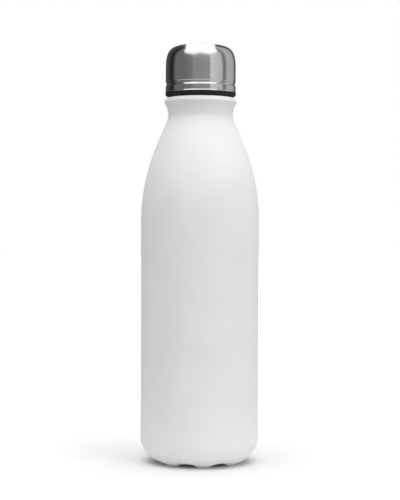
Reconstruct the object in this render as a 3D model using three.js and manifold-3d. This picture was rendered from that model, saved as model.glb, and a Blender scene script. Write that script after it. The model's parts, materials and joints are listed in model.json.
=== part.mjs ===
// A vacuum-insulated drinking bottle with a screw cap, in millimetres, +Z up, standing on Z = 0.
// The bottle's axis is the Z axis and its front faces -Y. Outlines are (radius, height) pairs.
import * as THREE from "three";
import { mergeVertices } from "three/addons/utils/BufferGeometryUtils.js";
import Module from "manifold-3d";

const wasm = await Module();
wasm.setup();

// Clearances
const SEAM_GAP = 0.3; // between two pieces that are welded, bonded or seated
const THREAD_PLAY = 0.3; // between the bearing flanks of the two threads
const THREAD_RADIAL_PLAY = 0.5; // from each thread's crest to the other part's wall

// Bottle, outside
const BODY_DIAMETER = 73;
const MOUTH_HEIGHT = 225.1;
const SHELL_WALL = 0.5;
const SHOULDER_DROP = 75.1; // from the mouth down to where the straight wall ends
const SHOULDER_FULLNESS = 34.7; // how far the shoulder's curve keeps the wall's direction
const WAIST_DROP = 11.1; // from the mouth down to the neck's narrowest place
const WAIST_HOLD = 5.7; // how far below the waist the curve keeps the neck's direction
const LIP_STAND = 2.4; // the lip's radius past the waist
const LIP_ROUND = 2;
const LIP_EDGE = 1.1; // height of the lip's upright edge
const MOUTH_FALL = 0.2; // from the mouth's inner edge to where the lip's round begins

// Scalloped base
const BASE_SEAM_HEIGHT = 27;
const FOOT_COUNT = 8;
const FOOT_AZIMUTH = 4.8; // degrees from the front towards +X
const FOOT_INSET = 10.2; // from the body's side in to the middle of each foot's flat
const FOOT_FLAT = 2.6; // radial width of that flat
const FOOT_FLAT_ANGLE = 8; // degrees each side of a foot's middle that stay on the floor
const FOOT_CURVE = { heel: { inset: 6.2, height: 2.6 }, knee: { inset: 0.4, height: 8.3 } };
const SCALLOP_HEIGHT = 2.8;
const SCALLOP_CURVE = { heel: { inset: 3.4, height: 2.8 }, knee: { inset: 0.2, height: 11 } };
const BASE_TURN_HEIGHT = 14.1; // where the upright wall starts to draw in
const RECESS_MARGIN = 6; // from the recess out to the feet's flats
const RECESS_EDGE = { width: 1.5, drop: 1 };
const RECESS_HEIGHT = 6.6;
const DIMPLE_RADIUS = 5;
const DIMPLE_RISE = 1.5;
const EVACUATION_HOLE_RADIUS = 0.8;
const SEAL_BEAD = { radius: 3.2, height: 1.3 };
const BASE_DISC = { margin: 2, thickness: 0.6 }; // margin is the recess's radius past the disc's

// Liner
const NECK_BORE_RADIUS = 16.4;
const LINER_WALL = 0.4;
const NECK_GAP = 2.6; // between the walls at the waist
const VACUUM_GAP = 4.4; // between the walls everywhere below
const LINER_SEAM_HEIGHT = 32;
const LINER_FLOOR_GAP = 6.5; // between the base's recess and the liner's floor
const LINER_FLOOR_RISE = 1.5;
const LINER_CORNER = 9;

// Getter, which binds the last of the gas in the vacuum
const GETTER = { radius: 3.2, height: 1.8 };
const GETTER_PAN = { wall: 0.3, height: 1.6, tabLength: 12, tabWidth: 3.5 };

// Heat-reflecting foil round the liner
const FOIL_THICKNESS = 0.15;
const FOIL_MARGIN = 3; // left bare above the liner's seam and below its shoulder
const FOIL_OPENING = 4; // degrees between the sheet's two edges

// Thread
const THREAD_STARTS = 2;
const THREAD_PITCH = 4;
const THREAD_DEPTH = 1.2;
const THREAD_ROOT_SHARE = 0.625; // of the pitch that a ridge takes where it meets its wall
const THREAD_CREST_SHARE = 0.325; // and at its crest
const THREAD_BITE = 0.15; // how deep a ridge is rooted in its wall
const THREAD_FADE = 24; // degrees over which each end of a ridge dies away
const NECK_THREAD_DROP = 15; // from the mouth down to the neck thread's lowest point
const NECK_THREAD_TURNS = 0.9;
const PLUG_THREAD_TURNS = 0.75;

// Cap
const CAP_HEIGHT = 29.6; // of the steel shell
const CAP_INSET = 0.6; // the shell's radius inside the lip's
const CAP_WALL = 0.5;
// The corner's height and width, and how far its curve keeps the wall's and the top's directions.
const CAP_CORNER = { height: 14.15, width: 11.2, rise: 10, sweep: 9.1 };
const CAP_CROWN = 0.05;
const CAP_HEM = { stand: 0.35, height: 0.5, blend: 0.8 };
const CAP_GROOVE = { height: 6.1, width: 3.2, depth: 0.6 };
const FLANGE_RISE = 0.6; // the flange's underside above the mouth
const FLANGE_HEIGHT = 1.6;
const FLANGE_CHAMFER = 1.1;
const WEB_HEIGHT = 2; // of the core's web above the flange
const PLUG_NOSE = 3; // below the plug's thread
const PLUG_WALL = 1.6;
const PLUG_CHAMFER = 1;
const DOME_WALL = 1.4;
const GASKET = { height: 1.4, width: 3.8, round: 0.4 };

// Smoothness
const ROUND_SIDES = 32;
const SCALLOP_SIDES = 6 * FOOT_COUNT;
const SMALL_SIDES = 18;

// Worked out from the sizes above
const BODY_RADIUS = BODY_DIAMETER / 2;
const LINER_NECK_RADIUS = NECK_BORE_RADIUS + LINER_WALL;
const WAIST_RADIUS = LINER_NECK_RADIUS + NECK_GAP + SHELL_WALL;
const LIP_RADIUS = WAIST_RADIUS + LIP_STAND;
const CAP_RADIUS = LIP_RADIUS - CAP_INSET;
const SHOULDER_HEIGHT = MOUTH_HEIGHT - SHOULDER_DROP;
const FOOT_RADIUS = BODY_RADIUS - FOOT_INSET;
const RECESS_RADIUS = FOOT_RADIUS - FOOT_FLAT / 2 - RECESS_MARGIN;
const LINER_RADIUS = BODY_RADIUS - SHELL_WALL - VACUUM_GAP;
const LINER_FLOOR_HEIGHT = RECESS_HEIGHT + SHELL_WALL + LINER_FLOOR_GAP;
const THREAD_ROOT_WIDTH = THREAD_PITCH * THREAD_ROOT_SHARE;
const THREAD_CREST_WIDTH = THREAD_PITCH * THREAD_CREST_SHARE;
const THREAD_LEAD = THREAD_STARTS * THREAD_PITCH;
const NECK_THREAD_BOTTOM = MOUTH_HEIGHT - NECK_THREAD_DROP + THREAD_ROOT_WIDTH / 2;
const PLUG_THREAD_CREST = NECK_BORE_RADIUS - THREAD_RADIAL_PLAY;
const PLUG_RADIUS = PLUG_THREAD_CREST - THREAD_DEPTH;
// The plug's ridges bear up against the undersides of the neck's, so they run this far below them.
const FLANKS_MEET = (THREAD_ROOT_WIDTH + THREAD_CREST_WIDTH
  - (THREAD_RADIAL_PLAY / THREAD_DEPTH) * (THREAD_ROOT_WIDTH - THREAD_CREST_WIDTH)) / 2;
const PLUG_THREAD_BOTTOM = NECK_THREAD_BOTTOM - FLANKS_MEET - THREAD_PLAY;
const PLUG_BOTTOM = PLUG_THREAD_BOTTOM - THREAD_ROOT_WIDTH / 2 - PLUG_NOSE;
const FLANGE_BOTTOM = MOUTH_HEIGHT + FLANGE_RISE;
const FLANGE_TOP = FLANGE_BOTTOM + FLANGE_HEIGHT;
const FLANGE_RADIUS = CAP_RADIUS + CAP_HEM.stand / 2;
const CAP_BOTTOM = FLANGE_TOP + SEAM_GAP;
const CAP_TOP = CAP_BOTTOM + CAP_HEIGHT;
const DOME_INSET = CAP_GROOVE.depth + CAP_WALL + SEAM_GAP;
const DOME_RADIUS = CAP_RADIUS - DOME_INSET;
const WEB_TOP = FLANGE_TOP + WEB_HEIGHT;
const GASKET_CEILING = MOUTH_HEIGHT + 2 * SEAM_GAP + GASKET.height;

const radians = THREE.MathUtils.degToRad;
const point = (r, z) => new THREE.Vector2(r, z);
const points = (...pairs) => pairs.map(([r, z]) => point(r, z));

// ---------- shapes ----------

// An arc of an outline, with angles in degrees from the radial direction.
function arc(r, z, radius, from, to, steps) {
  return Array.from({ length: steps + 1 }, (_, i) => {
    const angle = radians(from + ((to - from) * i) / steps);
    return point(r + radius * Math.cos(angle), z + radius * Math.sin(angle));
  });
}

const bend = (from, hold, held, to, steps) =>
  new THREE.CubicBezierCurve(from, hold, held, to).getPoints(steps);

// The outline that runs alongside another, a distance to its left. Points on the axis stay on it.
function alongside(outline, distance) {
  const leftOf = (a, b) => point(a.y - b.y, b.x - a.x).normalize();
  return outline.map((p, i) => {
    const before = i > 0 ? leftOf(outline[i - 1], p) : null;
    const after = i < outline.length - 1 ? leftOf(p, outline[i + 1]) : null;
    const normal = (before ?? after).clone().add(after ?? before).normalize();
    const reach = distance / normal.dot(before ?? after);
    return point(p.x === 0 ? 0 : p.x + normal.x * reach, p.y + normal.y * reach);
  });
}

// A wall: one face's outline, with the other face a thickness to its left.
const wall = (outline, thickness) => [...outline, ...alongside(outline, thickness).reverse()];

// A solid of revolution about Z. Its outline closes on itself, or starts and ends on the axis.
function turned(outline, sides = ROUND_SIDES) {
  const anticlockwise = THREE.ShapeUtils.area(outline) > 0 ? [...outline] : [...outline].reverse();
  const onAxis = (p) => p.x === 0;
  if (outline.some(onAxis))
    while (!onAxis(anticlockwise[0]) || !onAxis(anticlockwise.at(-1)))
      anticlockwise.push(anticlockwise.shift());
  else anticlockwise.push(anticlockwise[0]);
  return new THREE.LatheGeometry(anticlockwise, sides).rotateX(Math.PI / 2);
}

// A geometry as a solid that can be joined and cut, and back.
function solid(geometry) {
  const bare = new THREE.BufferGeometry();
  bare.setAttribute("position", geometry.getAttribute("position"));
  bare.setIndex(geometry.index);
  const { attributes, index } = mergeVertices(bare, 1e-4);
  const triVerts = new Uint32Array(index.array);
  const mesh = new wasm.Mesh({ numProp: 3, vertProperties: attributes.position.array, triVerts });
  return new wasm.Manifold(mesh);
}

function surface(body) {
  const { vertProperties, triVerts } = body.getMesh();
  const geometry = new THREE.BufferGeometry();
  geometry.setAttribute("position", new THREE.BufferAttribute(vertProperties, 3));
  geometry.setIndex(new THREE.BufferAttribute(triVerts, 1));
  geometry.computeVertexNormals();
  return geometry;
}

// One thread ridge: a trapezium carried round Z while it climbs one lead a turn, dying away at both
// ends. bottom is the height of its middle where it starts, and start is that place's azimuth.
function ridge({ root, crest, bottom, turns, start }) {
  const bite = root + Math.sign(root - crest) * THREAD_BITE;
  const low = THREAD_ROOT_WIDTH / 2;
  const high = THREAD_CREST_WIDTH / 2;
  const section = new THREE.Shape(points(
    [bite, -low], [root, -low], [crest, -high], [crest, high], [root, low], [bite, low]));
  const sweep = turns * 2 * Math.PI;
  const steps = Math.round(turns * ROUND_SIDES);
  const geometry = new THREE.ExtrudeGeometry(section, { depth: sweep, steps, bevelEnabled: false });
  const position = geometry.getAttribute("position");
  for (let i = 0; i < position.count; i++) {
    const radius = position.getX(i);
    const angle = sweep - position.getZ(i);
    const share = Math.min(1, angle / radians(THREAD_FADE), (sweep - angle) / radians(THREAD_FADE));
    const standing = (radius - root) * (crest - root) > 0;
    const faded = standing ? root + (radius - root) * share : radius;
    const climb = (THREAD_LEAD * angle) / (2 * Math.PI);
    const azimuth = start + angle;
    const height = bottom + position.getY(i) + climb;
    position.setXYZ(i, faded * Math.sin(azimuth), -faded * Math.cos(azimuth), height);
  }
  return geometry;
}

// A geometry with a whole thread joined to it.
function threaded(geometry, thread) {
  const starts = Array.from({ length: THREAD_STARTS }, (_, i) => (i * 2 * Math.PI) / THREAD_STARTS);
  const ridges = starts.map((start) => solid(ridge({ ...thread, start })));
  return surface(ridges.reduce((body, one) => body.add(one), solid(geometry)));
}

// ---------- finishes ----------

const finish = (color, roughness, metalness) =>
  new THREE.MeshStandardMaterial({ color, roughness, metalness });
const whitePowderCoat = finish(0xe9e9ea, 0.6, 0);
const brushedSteel = finish(0xb8babc, 0.3, 1);
const drawnSteel = finish(0xb0b2b4, 0.4, 1);
const blackPlastic = finish(0x161617, 0.5, 0);
const greyPlastic = finish(0x77797c, 0.6, 0);
const whiteFoam = finish(0xeceae4, 0.9, 0);
const siliconeRubber = finish(0x1d1d1f, 0.7, 0);
const paleRubber = finish(0xd9d9d8, 0.7, 0);
const copperFoil = finish(0xb87346, 0.25, 1);
const getterMetal = finish(0x4a4b4e, 0.8, 0.6);
const solderGlass = finish(0x2e3a33, 0.3, 0);

const bottle = new THREE.Group();
function named(name, geometry, material) {
  const mesh = new THREE.Mesh(geometry, material);
  mesh.name = name;
  bottle.add(mesh);
}

// ---------- bottle ----------

// The shoulder's outline, from the top of the straight wall up to the waist.
function shoulder() {
  const foot = point(BODY_RADIUS, SHOULDER_HEIGHT);
  const waist = point(WAIST_RADIUS, MOUTH_HEIGHT - WAIST_DROP);
  const held = point(waist.x, waist.y - WAIST_HOLD);
  return bend(foot, point(foot.x, foot.y + SHOULDER_FULLNESS), held, waist, 8);
}

// The neck's outline, from the waist out under the lip, round it and in over the mouth.
function neck() {
  const waist = shoulder().at(-1);
  const edgeTop = MOUTH_HEIGHT - MOUTH_FALL - LIP_ROUND;
  const edge = point(LIP_RADIUS, edgeTop - LIP_EDGE);
  const rise = edge.y - waist.y;
  const under = point(edge.x - LIP_STAND / 3, edge.y - rise / 4);
  const flare = bend(waist, point(waist.x, waist.y + rise / 2), under, edge, 4);
  const round = arc(LIP_RADIUS - LIP_ROUND, edgeTop, LIP_ROUND, 0, 90, 3);
  return [...flare.slice(1), ...round, point(LINER_NECK_RADIUS + SEAM_GAP, MOUTH_HEIGHT)];
}

const outerShell = () =>
  turned(wall([point(BODY_RADIUS, BASE_SEAM_HEIGHT), ...shoulder(), ...neck()], SHELL_WALL));

// The base's lower face at one place round it: from the evacuation hole out across the recess, over a
// foot or a scallop, and up to the seam with the shell.
function baseOutline(lift, { heel, knee }) {
  const dimple = RECESS_HEIGHT + DIMPLE_RISE;
  const tread = bend(
    point(FOOT_RADIUS + FOOT_FLAT / 2, lift), point(BODY_RADIUS - heel.inset, heel.height),
    point(BODY_RADIUS - knee.inset, knee.height), point(BODY_RADIUS, BASE_TURN_HEIGHT), 6);
  return [
    point(EVACUATION_HOLE_RADIUS, dimple), point(DIMPLE_RADIUS - DIMPLE_RISE, dimple),
    point(DIMPLE_RADIUS, RECESS_HEIGHT), point(RECESS_RADIUS, RECESS_HEIGHT),
    point(RECESS_RADIUS + RECESS_EDGE.width, RECESS_HEIGHT - RECESS_EDGE.drop),
    point(FOOT_RADIUS - FOOT_FLAT / 2, lift), ...tread, point(BODY_RADIUS, BASE_SEAM_HEIGHT - SEAM_GAP)];
}

// How far a place round the base is from a foot's flat to the middle of a scallop, from 0 to 1.
function scallopShare(azimuth) {
  const half = 180 / FOOT_COUNT;
  const fromFoot = Math.abs(THREE.MathUtils.euclideanModulo(azimuth + half, 2 * half) - half);
  return THREE.MathUtils.smoothstep(fromFoot, FOOT_FLAT_ANGLE, half);
}

function outerBase() {
  const foot = wall(baseOutline(0, FOOT_CURVE), SHELL_WALL);
  const scallop = wall(baseOutline(SCALLOP_HEIGHT, SCALLOP_CURVE), SHELL_WALL);
  const ring = [...foot, foot[0]];
  const geometry = new THREE.LatheGeometry(ring, SCALLOP_SIDES);
  const position = geometry.getAttribute("position");
  for (let i = 0; i < position.count; i++) {
    const turn = Math.floor(i / ring.length) / SCALLOP_SIDES;
    const step = (i % ring.length) % foot.length;
    const place = foot[step].clone().lerp(scallop[step], scallopShare(360 * turn));
    const azimuth = (Math.floor(i / ring.length) % SCALLOP_SIDES) * ((2 * Math.PI) / SCALLOP_SIDES);
    position.setXYZ(i, place.x * Math.sin(azimuth), place.y, place.x * Math.cos(azimuth));
  }
  return geometry.rotateX(Math.PI / 2).rotateZ(radians(FOOT_AZIMUTH));
}

// A lens of solder glass that closes the evacuation hole from below.
function sealBead() {
  const top = RECESS_HEIGHT + DIMPLE_RISE - SEAM_GAP;
  const { radius, height } = SEAL_BEAD;
  return turned(points(
    [0, top - height], [radius * 0.7, top - height * 0.8], [radius, top - height * 0.3],
    [radius * 0.9, top], [0, top]), SMALL_SIDES);
}

// A soft disc that covers the seal and lines the recess.
function baseDisc() {
  const top = RECESS_HEIGHT - SEAM_GAP;
  const bottom = top - BASE_DISC.thickness;
  const radius = RECESS_RADIUS - BASE_DISC.margin;
  return turned(points([0, bottom], [radius, bottom], [radius, top], [0, top]));
}

// The liner's outer face runs alongside the shell's and ends in the straight neck.
function linerOutline() {
  const beside = alongside([point(BODY_RADIUS, LINER_SEAM_HEIGHT), ...shoulder()], SHELL_WALL + VACUUM_GAP)
    .filter((p) => p.x > LINER_NECK_RADIUS + LINER_WALL);
  const [below, last] = beside.slice(-2);
  const steepness = (last.y - below.y) / (below.x - last.x);
  const neckFoot = last.y + (last.x - LINER_NECK_RADIUS) * steepness;
  return [...beside, point(LINER_NECK_RADIUS, neckFoot), point(LINER_NECK_RADIUS, MOUTH_HEIGHT)];
}

function innerLiner() {
  const crest = NECK_BORE_RADIUS - THREAD_DEPTH;
  return threaded(turned(wall(linerOutline(), LINER_WALL)), {
    root: NECK_BORE_RADIUS, crest, bottom: NECK_THREAD_BOTTOM, turns: NECK_THREAD_TURNS });
}

function linerBase() {
  const flat = LINER_RADIUS - LINER_CORNER;
  const underside = [
    point(0, LINER_FLOOR_HEIGHT + LINER_FLOOR_RISE),
    point(flat / 2, LINER_FLOOR_HEIGHT + LINER_FLOOR_RISE * 0.75),
    ...arc(flat, LINER_FLOOR_HEIGHT + LINER_CORNER, LINER_CORNER, -90, 0, 4),
    point(LINER_RADIUS, LINER_SEAM_HEIGHT - SEAM_GAP)];
  return turned(wall(underside, LINER_WALL));
}

const GETTER_FLOOR = RECESS_HEIGHT + SHELL_WALL + SEAM_GAP;
const GETTER_OFFSET = (DIMPLE_RADIUS + RECESS_RADIUS) / 2;

// A small steel pan on a strip that is spot-welded to the base.
function getterPan() {
  const inner = GETTER.radius + SEAM_GAP;
  const outer = inner + GETTER_PAN.wall;
  const floor = GETTER_FLOOR + GETTER_PAN.wall;
  const rim = GETTER_FLOOR + GETTER_PAN.height;
  const outline = points(
    [0, GETTER_FLOOR], [outer, GETTER_FLOOR], [outer, rim], [inner, rim], [inner, floor], [0, floor]);
  const strip = new THREE.BoxGeometry(GETTER_PAN.tabWidth, GETTER_PAN.tabLength, GETTER_PAN.wall);
  strip.translate(0, 0, GETTER_FLOOR + GETTER_PAN.wall / 2);
  const pan = solid(turned(outline, SMALL_SIDES)).add(solid(strip));
  return surface(pan).translate(GETTER_OFFSET, 0, 0);
}

function getterPellet() {
  const floor = GETTER_FLOOR + GETTER_PAN.wall + SEAM_GAP;
  const top = floor + GETTER.height;
  const outline = points([0, floor], [GETTER.radius, floor], [GETTER.radius, top], [0, top]);
  return turned(outline, SMALL_SIDES).translate(GETTER_OFFSET, 0, 0);
}

// One sheet bent nearly all the way round the liner's straight wall.
function linerFoil() {
  const inner = LINER_RADIUS + SEAM_GAP;
  const half = radians(FOIL_OPENING / 2);
  const sheet = new THREE.Shape();
  sheet.absarc(0, 0, inner + FOIL_THICKNESS, half, 2 * Math.PI - half, false);
  sheet.absarc(0, 0, inner, 2 * Math.PI - half, half, true);
  const bottom = LINER_SEAM_HEIGHT + FOIL_MARGIN;
  const depth = SHOULDER_HEIGHT - FOIL_MARGIN - bottom;
  return new THREE.ExtrudeGeometry(sheet, { depth, bevelEnabled: false, curveSegments: ROUND_SIDES })
    .rotateZ(Math.PI / 2)
    .translate(0, 0, bottom);
}

named("outer_shell", outerShell(), whitePowderCoat);
named("outer_base", outerBase(), whitePowderCoat);
named("base_disc", baseDisc(), paleRubber);
named("seal_bead", sealBead(), solderGlass);
named("getter_pan", getterPan(), drawnSteel);
named("getter_pellet", getterPellet(), getterMetal);
named("inner_liner", innerLiner(), drawnSteel);
named("liner_base", linerBase(), drawnSteel);
named("liner_foil", linerFoil(), copperFoil);

// ---------- cap ----------

// The upper part of a cap piece, a distance inside the shell: an upright wall, a corner and the top.
function capTop(inset, bottom) {
  const { height, width, rise, sweep } = CAP_CORNER;
  const top = CAP_TOP - CAP_CROWN;
  const crown = point(CAP_RADIUS - width, top);
  const wallTop = point(CAP_RADIUS, top - height);
  const corner = bend(
    wallTop, point(CAP_RADIUS, wallTop.y + rise), point(crown.x + sweep, top), crown, 6);
  return alongside([point(CAP_RADIUS, bottom), ...corner, point(0, CAP_TOP)], inset);
}

function capShell() {
  const hem = CAP_RADIUS + CAP_HEM.stand;
  const hemTop = CAP_BOTTOM + CAP_HEM.height;
  const middle = CAP_BOTTOM + CAP_GROOVE.height;
  const half = CAP_GROOVE.width / 2;
  const groove = (share, rise) => point(CAP_RADIUS - CAP_GROOVE.depth * share, middle + rise);
  return turned(wall([
    point(hem, CAP_BOTTOM), point(hem, hemTop), point(CAP_RADIUS, hemTop + CAP_HEM.blend),
    groove(0, -half), groove(0.8, -half / 2), groove(1, 0), groove(0.8, half / 2),
    ...capTop(0, middle + half)], CAP_WALL));
}

// A moulded cup that backs the steel shell, open below and standing on the core's web.
const capDome = () => turned(wall(capTop(DOME_INSET, WEB_TOP + SEAM_GAP), DOME_WALL));

function capFoam() {
  const floor = WEB_TOP + SEAM_GAP;
  return turned([point(0, floor), ...capTop(DOME_INSET + DOME_WALL + SEAM_GAP, floor)]);
}

// The core: a closed plug with the thread on it, under a web whose rim shows below the steel shell.
function capCore() {
  const seat = PLUG_RADIUS + GASKET.width + 2 * SEAM_GAP;
  const hollow = PLUG_RADIUS - PLUG_WALL;
  const floor = PLUG_BOTTOM + PLUG_WALL;
  const core = turned(points(
    [0, PLUG_BOTTOM], [PLUG_RADIUS - PLUG_CHAMFER, PLUG_BOTTOM], [PLUG_RADIUS, PLUG_BOTTOM + PLUG_CHAMFER],
    [PLUG_RADIUS, GASKET_CEILING], [seat, GASKET_CEILING], [seat, FLANGE_BOTTOM],
    [FLANGE_RADIUS - FLANGE_CHAMFER, FLANGE_BOTTOM], [FLANGE_RADIUS, FLANGE_BOTTOM + FLANGE_CHAMFER],
    [FLANGE_RADIUS, FLANGE_TOP], [DOME_RADIUS, FLANGE_TOP], [DOME_RADIUS, WEB_TOP],
    [hollow, WEB_TOP], [hollow, floor], [0, floor]));
  return threaded(core, {
    root: PLUG_RADIUS, crest: PLUG_THREAD_CREST, bottom: PLUG_THREAD_BOTTOM, turns: PLUG_THREAD_TURNS });
}

function plugFoam() {
  const radius = PLUG_RADIUS - PLUG_WALL - SEAM_GAP;
  const floor = PLUG_BOTTOM + PLUG_WALL + SEAM_GAP;
  return turned(points([0, floor], [radius, floor], [radius, WEB_TOP], [0, WEB_TOP]));
}

// The sealing ring fills the recess under the flange and seats on the mouth.
function capGasket() {
  const inner = PLUG_RADIUS + SEAM_GAP;
  const outer = inner + GASKET.width;
  const bottom = MOUTH_HEIGHT + SEAM_GAP;
  const top = bottom + GASKET.height;
  return turned(points(
    [inner, bottom], [outer - GASKET.round, bottom], [outer, bottom + GASKET.round],
    [outer, top], [inner, top]));
}

named("cap_shell", capShell(), brushedSteel);
named("cap_dome", capDome(), greyPlastic);
named("cap_foam", capFoam(), whiteFoam);
named("cap_core", capCore(), blackPlastic);
named("plug_foam", plugFoam(), whiteFoam);
named("cap_gasket", capGasket(), siliconeRubber);

export default bottle;
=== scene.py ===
"""The looks of a vacuum-insulated bottle with a screw cap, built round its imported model.

Lengths are in metres. The bottle's axis is Z, it stands on Z = 0 and its front faces -Y. Every new
piece is a surface of revolution, or nearly one. Its outline is a list of (radius, height) points that
runs anticlockwise round the material, and a place round the bottle is an azimuth, counted from the
front towards +X.
"""
import json
import math

import bpy
import numpy as np
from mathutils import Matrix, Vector

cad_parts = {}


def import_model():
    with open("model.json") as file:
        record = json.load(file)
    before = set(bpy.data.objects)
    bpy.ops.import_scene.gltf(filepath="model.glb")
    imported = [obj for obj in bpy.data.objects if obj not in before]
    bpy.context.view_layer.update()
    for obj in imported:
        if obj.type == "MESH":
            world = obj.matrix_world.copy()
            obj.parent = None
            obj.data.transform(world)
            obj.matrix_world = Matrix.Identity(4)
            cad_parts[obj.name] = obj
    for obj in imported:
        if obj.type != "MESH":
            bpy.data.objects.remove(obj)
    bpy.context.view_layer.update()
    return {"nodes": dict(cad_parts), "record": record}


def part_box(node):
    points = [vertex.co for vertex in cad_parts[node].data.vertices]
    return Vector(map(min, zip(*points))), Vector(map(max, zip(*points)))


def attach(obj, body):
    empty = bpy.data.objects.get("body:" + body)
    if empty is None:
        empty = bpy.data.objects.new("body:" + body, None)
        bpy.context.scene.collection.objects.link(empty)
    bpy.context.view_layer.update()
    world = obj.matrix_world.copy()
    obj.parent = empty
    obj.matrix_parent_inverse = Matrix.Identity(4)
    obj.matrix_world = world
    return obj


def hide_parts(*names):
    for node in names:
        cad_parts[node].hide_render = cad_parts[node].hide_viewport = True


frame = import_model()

MM = 0.001

# ---------- sizes ----------

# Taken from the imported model
_, shell_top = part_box("outer_shell")
_, base_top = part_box("outer_base")
pad_low, pad_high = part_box("base_disc")
liner_floor_low, liner_floor_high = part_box("liner_base")
cap_low, cap_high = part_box("cap_shell")
core_low, core_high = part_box("cap_core")
_, dome_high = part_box("cap_dome")
gasket_low, gasket_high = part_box("cap_gasket")

BODY_RADIUS = shell_top.x
MOUTH = shell_top.z

# Bottle, outside
SHELL_WALL = 0.5 * MM
SHOULDER_DROP = 75.1 * MM
SHOULDER_FULLNESS = 34.7 * MM
WAIST_DROP = 11.1 * MM
WAIST_HOLD = 5.7 * MM
WAIST_RADIUS = 19.9 * MM
LIP_RADIUS = 22.3 * MM
LIP_DROP = 2.5 * MM  # from the mouth down to the lip's edge
LIP_EDGE = 0.7 * MM
MOUTH_FLAT_RADIUS = 19.7 * MM
MOUTH_EDGE_RADIUS = 17.1 * MM

# Scalloped base
FOOT_COUNT = 8
FOOT_AZIMUTH = math.radians(6)
FOOT_FLAT_ANGLE = math.radians(6)  # each side of a foot's middle
SCALLOP_FLAT_ANGLE = math.radians(5)  # each side of a scallop's middle
FOOT_INNER_INSET = 12.6 * MM  # from the body's side in to a foot's inner edge
FOOT_OUTER_INSET = 10.2 * MM
FOOT_EDGE = 0.6 * MM
RIM_INSET = 6.6 * MM  # from the body's side in to the rim that stands over the feet
FOOT_RIM_HEIGHT = 1.9 * MM
SCALLOP_HEIGHT = 2.3 * MM
SCALLOP_RIM_HEIGHT = 2.7 * MM
BASE_TURN_HOLD = 9.8 * MM  # how far down the corner still follows the upright wall
BASE_TURN_HEIGHT = 14.1 * MM  # where the upright wall starts to draw in
RECESS_RADIUS = 19 * MM
RECESS_HEIGHT = 6.6 * MM
DIMPLE_RADIUS = 5 * MM
DIMPLE_RISE = 1.5 * MM
EVACUATION_HOLE_RADIUS = 0.8 * MM

# Liner and thread
BORE_RADIUS = 16.4 * MM
LINER_WALL = 0.4 * MM
LINER_CORNER = 9 * MM
LINER_CROWN = 1.5 * MM  # rise of the liner's floor at its middle
NECK_DEPTH = 20 * MM  # from the mouth down, finely divided for the thread
VACUUM_GAP = 4.4 * MM
THREAD_STARTS = 2
THREAD_LEAD = 8 * MM
THREAD_DEPTH = 1.2 * MM
THREAD_ROOT_WIDTH = 2.5 * MM
THREAD_CREST_WIDTH = 1.3 * MM
THREAD_FADE = math.radians(24)
NECK_THREAD = {"bottom": MOUTH - 13.75 * MM, "turns": 0.9}
PLUG_THREAD = {"bottom": MOUTH - 15.7 * MM, "turns": 0.75}

# Cap
CAP_RADIUS = 21.65 * MM
CAP_WALL = 0.5 * MM
CAP_CORNER = 14.2 * MM  # from the top down to where the wall begins to turn in
CAP_CROWN = 0.05 * MM
CAP_CROWN_RADIUS = 10.5 * MM
GROOVE_RISE = 5.7 * MM
GROOVE_WIDTH = 2.7 * MM
GROOVE_DEPTH = 0.5 * MM
CAP_SIDES = 240
PLUG_RADIUS = 14.7 * MM
PLUG_WALL = 1.6 * MM
FLANGE_CHAMFER = 1.2 * MM

# Smoothness
SIDES = 288
FINE = 0.2 * MM  # spacing of an outline's points where a thread stands on it


# ---------- outlines ----------

def bezier(start, hold, held, end, steps):
    """Points of the cubic curve (1-t)^3 start + 3(1-t)^2 t hold + 3(1-t) t^2 held + t^3 end."""
    t = np.linspace(0, 1, steps + 1)[:, None]
    corners = [np.array(corner, float) for corner in (start, hold, held, end)]
    weights = ((1 - t) ** 3, 3 * (1 - t) ** 2 * t, 3 * (1 - t) * t ** 2, t ** 3)
    return sum(weight * corner for weight, corner in zip(weights, corners))


def arc(centre, radius, start, end, steps):
    """Points at a distance from a centre, at angles in degrees from the outward direction."""
    angle = np.radians(np.linspace(start, end, steps + 1))
    return np.array(centre) + radius * np.stack([np.cos(angle), np.sin(angle)], 1)


def rounded(corners, radius, steps=5):
    """A polygon whose corners are bridged by the curves (1-t)^2 before + 2(1-t) t corner + t^2 after.

    before and after lie on the corner's two sides, a radius away or half a side if that is less."""
    corner = np.array(corners, float)
    back, ahead = np.roll(corner, 1, 0) - corner, np.roll(corner, -1, 0) - corner
    back_length = np.linalg.norm(back, axis=1, keepdims=True)
    ahead_length = np.linalg.norm(ahead, axis=1, keepdims=True)
    reach = np.broadcast_to(np.array(radius, float).reshape(-1, 1), back_length.shape)
    before = corner + back / back_length * np.minimum(reach, back_length / 2)
    after = corner + ahead / ahead_length * np.minimum(reach, ahead_length / 2)
    t = np.linspace(0, 1, steps + 1)[None, :, None]
    curves = (1 - t) ** 2 * before[:, None] + 2 * (1 - t) * t * corner[:, None] + t ** 2 * after[:, None]
    return np.concatenate([corner[:1], curves[1:-1].reshape(-1, 2), corner[-1:]])


def joined(*parts):
    """One outline from several, without points that fall on each other."""
    outline = np.concatenate([np.atleast_2d(np.array(part, float)) for part in parts])
    apart = np.linalg.norm(np.diff(outline, axis=0), axis=1) > 1e-7
    return outline[np.concatenate([[True], apart])]


def spaced(outline, spacing):
    """An outline with more points, so that none is further than a spacing from the next."""
    length = np.concatenate([[0], np.cumsum(np.linalg.norm(np.diff(outline, axis=0), axis=1))])
    even = np.arange(0, length[-1], spacing)
    clear = np.abs(even[:, None] - length[None, :]).min(1) > spacing / 4
    places = np.sort(np.concatenate([length, even[clear]]))
    return np.stack([np.interp(places, length, outline[:, k]) for k in (0, 1)], 1)


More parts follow.
